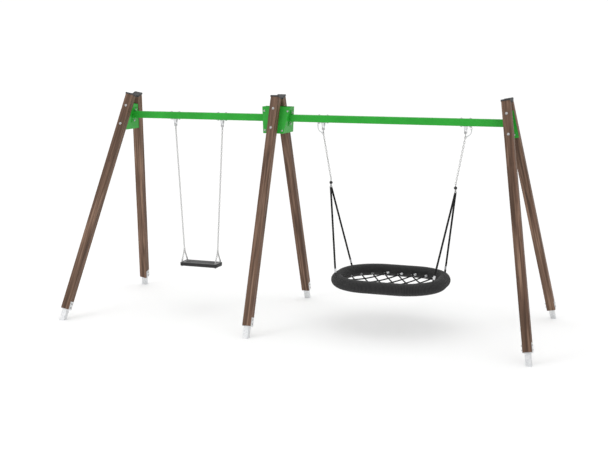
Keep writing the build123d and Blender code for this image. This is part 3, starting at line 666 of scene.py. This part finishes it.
def chain_spots(top, top_bar, low, low_bar):
    """Where each link sits between two round bars, and the links' inside length."""
    top, low = Vector(top), Vector(low)
    down = (low - top).normalized()
    first = top + down * -(top_bar + BAR / 2 + LINK_PLAY)
    last = low + down * (low_bar + BAR / 2 + LINK_PLAY)
    span = (last - first).length
    count = max(1, round((span - BAR) / LINK_PITCH))
    if count % 2 == 0:
        count += 1 if (span - BAR) / LINK_PITCH > count else -1
    inside = (span - BAR + (count - 1) * LINK_PLAY) / count
    step = inside - LINK_PLAY
    spots = [first + down * ((inside + BAR) / 2 + i * step) for i in range(count)]
    return spots, down, inside


def hang_chain(name, runs):
    """Rows of links, joined to one piece. The first link of a row lies along X."""
    parts = []
    for top, top_bar, low, low_bar in runs:
        spots, down, inside = chain_spots(top, top_bar, low, low_bar)
        link = link_blank(inside)
        side = Vector((1, 0, 0))
        for i, spot in enumerate(spots):
            wide = side if i % 2 == 0 else down.cross(side).normalized()
            turn = Matrix((wide, (-down).cross(wide), -down)).transposed()
            parts.append(copy_of(link, Matrix.Translation(spot) @ turn.to_4x4()))
        discard(link)
    piece = joined(name, parts)
    print(name, "has", len(parts), "links")
    return piece


# %% Hang the chains
SEAT_TOP = 0.590
PIN_Z = 2.242
EYE_BAR = 0.0041
EYE_BAR_Z = PIN_Z - 0.034 - 0.008 - EYE_BAR
RING_Z, RING_MID = SEAT_TOP + 0.138, 0.016
SEAT_BAR = 0.004
FLAT_X = MIDDLE_X - 1.010
NEST_X = MIDDLE_X + 1.365
ARCH_Z = SEAT_TOP + 0.017
NEST_RING_TOP = 1.632 + 0.019 + 0.009 + 0.0035 + 0.001 + 0.009
NEST_CHAINS = {"left": NEST_X - 0.816, "right": NEST_X + 0.816}
BALLS = {"left": NEST_X - 0.721, "right": NEST_X + 0.721}

for side, sign in (("left", -1), ("right", 1)):
    seat_x = FLAT_X + sign * 0.221
    run = ((FLAT_X + sign * 0.304, 0, EYE_BAR_Z), EYE_BAR, (seat_x, 0, RING_Z + RING_MID), SEAT_BAR)
    chain = hang_chain(f"flat_swing_chain_{side}", [run])
    steel = finishes["chain_steel"]
    hand_over(chain, "flat_chains", steel, [f"flat_chain_{side}"], 75)
    run = ((NEST_CHAINS[side], 0, EYE_BAR_Z), EYE_BAR, (BALLS[side], 0, NEST_RING_TOP), 0.0035)
    chain = hang_chain(f"nest_swing_chain_{side}", [run])
    steel = finishes["chain_steel"]
    hand_over(chain, "nest_chains", steel, [f"nest_chain_{side}"], 75)

runs = []
for sign_x in (-1, 1):
    for sign_y in (-1, 1):
        ring = Vector((FLAT_X + sign_x * 0.221, 0, RING_Z))
        arch = Vector((ring.x, sign_y * 0.070, ARCH_Z))
        lean = (arch - ring).normalized()
        runs.append((ring + lean * RING_MID, SEAT_BAR, arch - lean * 0.011, SEAT_BAR))
bridle = hang_chain("seat_bridle_chains", runs)
hand_over(bridle, "flat_seat", finishes["chain_steel"], ["seat_chains"], 75)

# %% [markdown]
# ## Rope
#
# Play rope is made of strands laid round each other, and the twist is what
# the eye reads as rope. A Screw modifier does the same job as the rope walk:
# a ring of small circles is turned as it is drawn along, so each circle
# becomes a strand. Straight ropes are then stood on their line, and the
# sagging ones are bent along a curve with a Curve modifier.


# %% The rope walk
def laid_rope(length, radius, strands, turns_per_metre, rings_per_turn=10, sides=8):
    """A straight rope along X from 0 to its length, its strands twisted."""
    strand = radius / (1 + 1 / math.sin(math.pi / strands)) * 1.2
    centre = radius - strand
    rounds = []
    for i in range(strands):
        angle = 2 * math.pi * i / strands
        bpy.ops.mesh.primitive_circle_add(
            vertices=sides,
            radius=strand,
            location=(0, centre * math.cos(angle), centre * math.sin(angle)),
            rotation=(0, math.pi / 2, 0),
        )
        rounds.append(added())
    rope = joined("rope", rounds)
    turns = length * turns_per_metre
    modify(
        rope,
        "SCREW",
        axis="X",
        angle=turns * 2 * math.pi,
        screw_offset=length,
        steps=max(8, int(turns * rings_per_turn)),
        render_steps=max(8, int(turns * rings_per_turn)),
        use_merge_vertices=False,
        use_smooth_shade=True,
    )
    with editing(rope, "EDGE"):
        pick("edges", lambda edge: edge.is_boundary)
        bpy.ops.mesh.fill_holes(sides=0)
        bpy.ops.mesh.select_all(action="SELECT")
        bpy.ops.mesh.normals_make_consistent(inside=False)
    return rope


def stand_on(rope, start, end):
    """Turn a straight rope from X to the line from start to end."""
    start, end = Vector(start), Vector(end)
    turn = (end - start).to_track_quat("X", "Z").to_matrix().to_4x4()
    rope.matrix_world = Matrix.Translation(start) @ turn
    return rope


def bend_along(rope, points, closed=False):
    """Bend a straight rope along a line of points."""
    guide_data = bpy.data.curves.new("guide", "CURVE")
    guide_data.dimensions = "3D"
    guide_data.twist_mode = "Z_UP"
    spline = guide_data.splines.new("POLY")
    spline.points.add(len(points) - 1)
    for spot, point in zip(spline.points, points):
        spot.co = (*point, 1)
    spline.use_cyclic_u = closed
    guide = bpy.data.objects.new("guide", guide_data)
    bpy.context.scene.collection.objects.link(guide)
    modify(rope, "CURVE", object=guide, deform_axis="POS_X")
    discard(guide)
    return rope


# %% [markdown]
# Rope yarn is black polypropylene: matt, a little hairy, and greyer on the
# crowns where it has been handled. Fine noise gives the yarns, and a broader
# one the wear.


# %% Black rope
def black_rope():
    f = Finish("black_laid_rope", Specular_IOR_Level=0.2)
    where = f.place()
    yarn = f.noise(f.stretch(where, (900, 900, 260)), 1.0, 3.0, 0.7)
    wear = f.noise(where, 60.0, 4.0, 0.6)
    shade = f.blend(yarn.between(0.3, 0.75), (0.007, 0.007, 0.0075), (0.022, 0.022, 0.023))
    shade = f.blend(wear.between(0.55, 0.85) * 0.4, shade, (0.050, 0.049, 0.048))
    return f.done(
        Base_Color=shade,
        Roughness=0.68 + yarn * 0.25,
        Normal=f.bump(yarn, 0.0008, 0.8),
    )


finishes["black_rope"] = black_rope()
print("rope finish ready")

# %% [markdown]
# ## The four hanging ropes
#
# A pair of ropes drops from each swivel to the nest's ring, pulled straight by
# the nest's weight. They are the same rope on the same lay, so one is made for
# each pair's length and stood on its line, from the clevis to the pressed
# aluminium ferrule. They are drawn a little fuller than the measured rope, so
# the two of a pair press on each other where they leave the clevis.

# %% Drop the ropes
ROPE = 0.0119
ROPE_STRANDS, ROPE_TURNS_PER_METRE, ROPE_RINGS_PER_TURN = 4, 14, 12
INTO_CLEVIS, SHORT_OF_FERRULE_MIDDLE = 0.001, 0.018
ROPE_TOP_Y, ROPE_TOP_Z = 0.0115, 1.601 - 0.0115 - 0.009
FERRULE = Vector((0.569, 0.294, 0.670))

for side, sign_x in (("left", -1), ("right", 1)):
    pair = []
    for sign_y in (-1, 1):
        top = Vector((BALLS[side], sign_y * ROPE_TOP_Y, ROPE_TOP_Z + INTO_CLEVIS))
        near = Vector((NEST_X + sign_x * FERRULE.x, sign_y * FERRULE.y, FERRULE.z))
        line = (near - top).normalized()
        low = near - line * SHORT_OF_FERRULE_MIDDLE
        rope = laid_rope(
            (low - top).length, ROPE, ROPE_STRANDS, ROPE_TURNS_PER_METRE, ROPE_RINGS_PER_TURN
        )
        pair.append(stand_on(rope, top, low))
    ropes = joined(f"hanging_ropes_{side}", pair)
    black = finishes["black_rope"]
    hand_over(ropes, "nest_basket", black, [f"nest_ropes_{side}"], 60)

# %% [markdown]
# ## The net
#
# Two layers of 16 mm rope cross in diamonds and sag a little towards the
# middle, where a child lies. Each strand is a twisted rope bent along its own
# shallow bow. The bow is worked out from the ring's size, so the ends always
# land in the ring's padding.

# %% The ring's middle line and the net's sag
ring_low, ring_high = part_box("nest_cover")
RING_FAT = 0.070
RING_HALF_L = (ring_high.x - ring_low.x) / 2 - RING_FAT
RING_HALF_W = (ring_high.y - ring_low.y) / 2 - RING_FAT
RING_CORNER = 0.485 - RING_FAT
RING_Z_MID = (ring_low.z + ring_high.z) / 2
NET_SAG, NET_DROP = 0.055, 0.017
NET_ROPE, NET_PITCH = 0.008, 0.165
NET_SLANT = math.radians(57.0)
NET_FULLNESS = 1.06


def outside_ring(x, y):
    """How far a plan point is outside the ring's middle line; negative inside."""
    past_x = abs(x) - (RING_HALF_L - RING_CORNER)
    past_y = abs(y) - (RING_HALF_W - RING_CORNER)
    corner = math.hypot(max(past_x, 0), max(past_y, 0))
    return corner + min(max(past_x, past_y), 0) - RING_CORNER


def reach_ring(x, y, step_x, step_y, inset):
    """How far a strand runs from a plan point until it is in the padding."""
    near, far = 0.0, 2.0
    for _ in range(40):
        middle = (near + far) / 2
        gone = outside_ring(x + step_x * middle, y + step_y * middle)
        near, far = (middle, far) if gone < -RING_FAT + inset else (near, middle)
    return near


def net_height(x, y):
    rise = (x / (RING_HALF_L - 0.03)) ** 2 + (y / (RING_HALF_W - 0.03)) ** 2
    return RING_Z_MID - NET_DROP - NET_SAG * max(1 - rise, 0)


def net_strands(turn, lift):
    """The lines of one layer, each as a row of points."""
    step_x, step_y = math.cos(NET_SLANT), turn * math.sin(NET_SLANT)
    lines = []
    for i in range(-9, 9):
        offset = (i + 0.5) * NET_PITCH
        x, y = offset - offset * step_x**2, -offset * step_x * step_y
        if outside_ring(x, y) > -RING_FAT - 0.06:
            continue
        ahead = reach_ring(x, y, step_x, step_y, 0.025)
        behind = reach_ring(x, y, -step_x, -step_y, 0.025)
        if ahead + behind < 0.26:
            continue
        line = []
        for k in range(41):
            t = -behind + (ahead + behind) * k / 40
            px, py = x + step_x * t, y + step_y * t
            line.append(Vector((NEST_X + px, py, net_height(px, py) + lift)))
        lines.append(line)
    return lines


print("ring half length", round(RING_HALF_L, 3), "half width", round(RING_HALF_W, 3))


# %% Weave the net
for layer, turn, lift in (("over", 1, NET_ROPE + 0.0008), ("under", -1, -NET_ROPE - 0.0008)):
    strands = []
    for line in net_strands(turn, lift):
        length = sum((b - a).length for a, b in zip(line, line[1:]))
        rope = laid_rope(length, NET_ROPE * NET_FULLNESS, 4, 18, 10, 6)
        strands.append(bend_along(rope, line))
    net = joined(f"net_layer_{layer}", strands)
    hand_over(net, "nest_basket", finishes["black_rope"], [f"net_{layer}"], 60)

# %% [markdown]
# ## The nest's braided cover
#
# A steel ring with a foam sleeve is wrapped closely in rope, turn beside
# turn, so that nobody touches the steel. One turn of that wrap is modelled as
# a short collar with a rounded back. An Array modifier lays 260 of them end to
# end, and a Curve modifier closes the row round the ring. Before it is bent,
# the row gets a UV map: U counts the turns, and V goes once round the collar,
# so the twist of each turn can follow it.

# %% The ring's middle line as a guide
bpy.ops.mesh.primitive_plane_add(size=2, location=(0, 0, 0))
outline = added()
outline.scale = (RING_HALF_L, RING_HALF_W, 1)
bpy.ops.object.transform_apply(scale=True)
with editing(outline, "VERT"):
    bpy.ops.mesh.select_all(action="SELECT")
    bpy.ops.mesh.bevel(offset=RING_CORNER, segments=40, affect="VERTICES")
    bpy.ops.mesh.select_all(action="SELECT")
ring_points = [outline.data.vertices[i].co.copy() for i in outline.data.polygons[0].vertices]
ring_points = [p + Vector((NEST_X, 0, RING_Z_MID)) for p in ring_points]
ring_long = sum((b - a).length for a, b in zip(ring_points, ring_points[1:] + ring_points[:1]))
discard(outline)
print("the ring's middle line is", round(ring_long, 3), "m long")

# %% One turn of the wrap, repeated round the ring
TURNS = 250
turn_wide = ring_long / TURNS
turn_deep = 0.0042
SIDES = 48
PROFILE = (0.0, 0.62, 0.90, 1.0, 0.90, 0.62)

bpy.ops.mesh.primitive_circle_add(
    vertices=SIDES, radius=RING_FAT - turn_deep, rotation=(0, math.pi / 2, 0)
)
wrap = added()
bpy.ops.object.transform_apply(rotation=True)
with editing(wrap, "EDGE"):
    bpy.ops.mesh.select_all(action="SELECT")
    reached = RING_FAT - turn_deep
    for rise in (*PROFILE[1:], 0.0):
        target = RING_FAT - turn_deep * (1 - rise)
        bpy.ops.mesh.extrude_region_move(
            TRANSFORM_OT_translate={"value": (turn_wide / len(PROFILE), 0, 0)}
        )
        grow = target / reached
        bpy.ops.transform.resize(value=(1, grow, grow), center_override=(0, 0, 0))
        reached = target
modify(
    wrap,
    "ARRAY",
    count=TURNS,
    use_relative_offset=False,
    use_constant_offset=True,
    constant_offset_displace=(turn_wide, 0, 0),
    use_merge_vertices=True,
    merge_threshold=0.0001,
)
print("one turn is", round(turn_wide * 1000, 1), "mm wide")
print("the row has", len(wrap.data.polygons), "faces")

# %% Unwrap the row, then close it round the ring
mesh = wrap.data
chart = mesh.uv_layers.new(name="wrap")
place = np.zeros(len(mesh.vertices) * 3)
mesh.vertices.foreach_get("co", place)
place = place.reshape(-1, 3)
around = np.arctan2(place[:, 2], place[:, 1]) / (2 * math.pi) + 0.5
uv = np.zeros((len(mesh.loops), 2))
for face in mesh.polygons:
    v = np.array([around[i] for i in face.vertices])
    if v.max() - v.min() > 0.5:
        v = np.where(v < 0.5, v + 1, v)
    for loop, value, vertex in zip(face.loop_indices, v, face.vertices):
        uv[loop] = (place[vertex, 0] / turn_wide, value)
chart.data.foreach_set("uv", uv.ravel())

bend_along(wrap, ring_points, closed=True)
with editing(wrap, "VERT"):
    bpy.ops.mesh.select_all(action="SELECT")
    bpy.ops.mesh.remove_doubles(threshold=0.0008)
    bpy.ops.mesh.normals_make_consistent(inside=False)
cover = joined("braided_ring_cover", [wrap])
print("the cover has", len(cover.data.vertices), "points")


# %% [markdown]
# The wrap is the same black rope as the net. Each turn shows three strands
# that cross it on a slant, which a sine of U and V draws as a height. The gaps
# between turns are painted near black as painted shade, darker than the crowns,
# and the middle of each strand on a turn's crown is painted lighter as a painted highlight.


# %% Braided rope finish
def braided_rope():
    f = Finish(
        "black_braided_wrap",
        Sheen_Weight=0.15,
        Sheen_Roughness=0.5,
        Specular_IOR_Level=0.25,
    )
    chart = f.node("UVMap", {"uv_map": "wrap"})
    split = f.tree.nodes.new("ShaderNodeSeparateXYZ")
    f.tree.links.new(chart.socket, split.inputs[0])
    u, v = Value(f, split.outputs[0]), Value(f, split.outputs[1])
    lit_crown = 1 - abs(u.part() - 0.5) * 2
    slant = (u * 0.5 + v * 42.0).part()
    strand = 1 - abs(slant - 0.5) * 2
    where = f.place()
    yarn = f.noise(where, 1400.0, 2.0, 0.6)
    wear = f.noise(where, 22.0, 5.0, 0.65)
    # Painted shade: the gaps between turns are painted near black, and each turn grows lighter
    # towards its crown.
    shade = f.blend(lit_crown.between(0.0, 0.8), (0.003, 0.003, 0.003), (0.025, 0.025, 0.026))
    # Painted highlight: the middle of each strand is painted lighter where it lies on a turn's
    # crown; the strand also drives the bump.
    shade = f.blend(strand.between(0.1, 0.9) * lit_crown * 0.55, shade, (0.048, 0.048, 0.049))
    shade = f.blend(wear.between(0.48, 0.78) * 0.32, shade, (0.060, 0.059, 0.058))
    height = strand.between(0.0, 1.0) * 0.8 + yarn * 0.25
    return f.done(
        Base_Color=shade,
        Roughness=0.66 + yarn * 0.2,
        Normal=f.bump(height, 0.0016, 0.8),
    )


finishes["braid_cover"] = braided_rope()
hand_over(cover, "nest_basket", finishes["braid_cover"], ["nest_cover"], 80)

# %% [markdown]
# ## The flat seat
#
# The flat seat is black rubber moulded round a steel plate: a thick slab with
# well-rounded ends, a soft upper edge, a shallow tray on top and ribs that
# keep a child from sliding. It starts as a box at the seat's size. Its upright
# edges are bevelled first, then the rims, and then the top is inset and pressed
# down. The ribs are one bar, copied across the tray.


# %% Mould the seat
seat_low, seat_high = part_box("seat_rubber")
seat_middle = (seat_low + seat_high) / 2
seat_half = (seat_high - seat_low) / 2

bpy.ops.mesh.primitive_cube_add(size=2, location=seat_middle, scale=seat_half)
seat = added()
bpy.ops.object.transform_apply(location=True, scale=True)


def upright(edge):
    a, b = (corner.co for corner in edge.verts)
    return abs(a.z - b.z) > 0.01


def flat_at(height):
    return lambda face: (
        abs(face.calc_center_median().z - height) < 1e-4 and abs(face.normal.z) > 0.9
    )


def rim_at(height):
    return lambda edge: (
        all(abs(c.co.z - height) < 1e-4 for c in edge.verts) and len(edge.link_faces) == 2
    )


with editing(seat, "EDGE"):
    pick("edges", upright)
    bpy.ops.mesh.bevel(offset=0.022, segments=8, affect="EDGES")
    bpy.ops.mesh.select_all(action="DESELECT")
    pick("edges", rim_at(seat_high.z))
    bpy.ops.mesh.bevel(offset=0.010, segments=5, affect="EDGES")
    bpy.ops.mesh.select_all(action="DESELECT")
    pick("edges", rim_at(seat_low.z))
    bpy.ops.mesh.bevel(offset=0.005, segments=3, affect="EDGES")
    bpy.ops.mesh.select_all(action="DESELECT")
    bpy.ops.mesh.select_mode(type="FACE")
    pick("faces", flat_at(seat_high.z))
    bpy.ops.mesh.inset(thickness=0.006)
    bpy.ops.mesh.inset(thickness=0.003)
    bpy.ops.transform.translate(value=(0, 0, -0.003))
    bpy.ops.mesh.inset(thickness=0.002)

bpy.ops.mesh.primitive_cube_add(
    size=2, location=(seat_middle.x, 0, seat_high.z - 0.0024), scale=(0.190, 0.0032, 0.0016)
)
rib = added()
bpy.ops.object.transform_apply(location=True, scale=True)
with editing(rib, "EDGE"):
    pick("edges", lambda edge: all(c.co.z > seat_high.z - 0.0024 for c in edge.verts))
    bpy.ops.mesh.bevel(offset=0.0011, segments=2, affect="EDGES")
ribs = [copy_of(rib, Matrix.Translation((0, 0.014 * i, 0))) for i in range(-5, 6)]
discard(rib)
seat = joined("moulded_seat", [seat, *ribs])


# %% Rubber finish
def seat_rubber():
    f = Finish("black_seat_rubber", IOR=1.5, Specular_IOR_Level=0.4)
    where = f.place()
    stipple = f.node("TexVoronoi", {}, {"Vector": where, "Scale": 520.0})
    bloom = f.noise(where, 17.0, 5.0, 0.65)
    rub_and_sheen_streaks = f.noise(f.stretch(where, (18, 60, 60)), 1.0, 4.0, 0.6)
    facing = f.node("SeparateXYZ", {}, {0: f.node("NewGeometry", out=1)}, out=2)
    # Painted light: faces turned upwards are painted a lighter grey, as lit from above, streaked by
    # a stretched noise.
    top = facing.between(0.7, 0.98)
    shade = f.blend(bloom.between(0.35, 0.8), (0.012, 0.012, 0.013), (0.034, 0.034, 0.035))
    shade = f.blend(top * (0.55 + rub_and_sheen_streaks * 0.45), shade, (0.185, 0.185, 0.188))
    return f.done(
        Base_Color=shade,
        Roughness=0.44 + stipple * 0.14 + bloom * 0.08 - top * 0.20,
        Normal=f.bump(stipple, 0.0003, 0.4),
    )


finishes["seat_rubber"] = seat_rubber()
hand_over(seat, "flat_seat", finishes["seat_rubber"], ["seat_rubber"], 35)

# %% [markdown]
# ## Safety loops
#
# Beside each nest hanger a short wire rope runs from a lug under the beam to
# the chain's first link. It carries nothing until the hanger fails. It is
# 10 mm wire rope with a ring and a pressed sleeve at each end. Its line is a
# smooth NURBS spline on a few points, held at both ends, and bowed outwards by
# its own stiffness. Both rings lie in the upright plane along the beam.

# %% The loop's line
CABLE = 0.005
LOOP_RING, LOOP_WIRE = 0.010, 0.00275
LUG_FROM_HANGER, FOOT_SLOPE = 0.064, 52
SLEEVE_WALL, SLEEVE_LONG, SLEEVE_EASE = 0.0015, 0.012, 0.0012
BEAM_UNDER = 2.356 - 0.040
LUG_EYE_Z = BEAM_UNDER - 0.004 - 0.021 + 0.007
BOW = ((-0.03, 0.28), (0.10, 0.55), (0.36, 0.80))


def loop_route(side, sign):
    """The loop's route points, its slant at the foot, and the link it holds."""
    lug_x = NEST_CHAINS[side] + sign * LUG_FROM_HANGER
    start = Vector((lug_x, 0, LUG_EYE_Z - 2 * LOOP_RING))
    eye = (NEST_CHAINS[side], 0, EYE_BAR_Z)
    ring = (BALLS[side], 0, NEST_RING_TOP)
    link = chain_spots(eye, EYE_BAR, ring, 0.0035)[0][0]
    slope = math.radians(FOOT_SLOPE)
    slant = Vector((-sign * math.sin(slope), 0, -math.cos(slope)))
    end = link - slant * (2 * LOOP_RING)
    run = end - start
    bow = [start + Vector((fx * run.x, 0, fz * run.z)) for fx, fz in BOW]
    return [start, *bow, end], slant, link


def smooth_line(name, points):
    """A NURBS line on its control points, read back as a fine row of points."""
    data = bpy.data.curves.new(name, "CURVE")
    data.dimensions = "3D"
    spline = data.splines.new("NURBS")
    spline.points.add(len(points) - 1)
    for spot, point in zip(spline.points, points):
        spot.co = (*point, 1)
    spline.order_u = 3
    spline.use_endpoint_u = True
    spline.resolution_u = 12
    line = bpy.data.objects.new(name, data)
    bpy.context.scene.collection.objects.link(line)
    bpy.context.view_layer.update()
    row = [v.co.copy() for v in bpy.data.meshes.new_from_object(line).vertices]
    discard(line)
    return row


# %% Fit both loops
def end_ring(middle):
    bpy.ops.mesh.primitive_torus_add(
        major_radius=LOOP_RING,
        minor_radius=LOOP_WIRE,
        major_segments=24,
        minor_segments=10,
        location=middle,
        rotation=(math.pi / 2, 0, 0),
    )
    return added()


def pressed_sleeve(place, toward):
    """A short tube with eased ends, pressed on the wire rope."""
    bpy.ops.mesh.primitive_cylinder_add(
        vertices=20, radius=CABLE + SLEEVE_WALL, depth=SLEEVE_LONG
    )
    sleeve = added()
    with editing(sleeve, "FACE"):
        pick("faces", lambda face: abs(face.normal.z) > 0.9)
        bpy.ops.mesh.inset(thickness=SLEEVE_EASE)
        bpy.ops.transform.resize(value=(1, 1, 1.14))
    turn = toward.to_track_quat("Z", "Y").to_matrix().to_4x4()
    sleeve.matrix_world = Matrix.Translation(place + toward * (SLEEVE_LONG / 2)) @ turn
    return sleeve


for side, sign in (("left", -1), ("right", 1)):
    points, slant, link = loop_route(side, sign)
    line = smooth_line(f"loop_line_{side}", points)
    length = sum((b - a).length for a, b in zip(line, line[1:]))
    straight = laid_rope(length, CABLE, 6, 24, 12, 6)
    cable = joined(f"safety_loop_{side}", [bend_along(straight, line)])
    hand_over(cable, None, finishes["zinc"], ["safety_loops"], 50)
    foot = (points[-2] - points[-1]).normalized()
    fittings = joined(
        f"safety_loop_ends_{side}",
        [
            end_ring(points[0] + Vector((0, 0, LOOP_RING))),
            end_ring(link - slant * LOOP_RING),
            pressed_sleeve(points[0], Vector((0, 0, -1))),
            pressed_sleeve(points[-1], foot),
        ],
    )
    hand_over(fittings, None, finishes["zinc"], (), 50)
    for piece in (cable, fittings):
        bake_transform(piece)
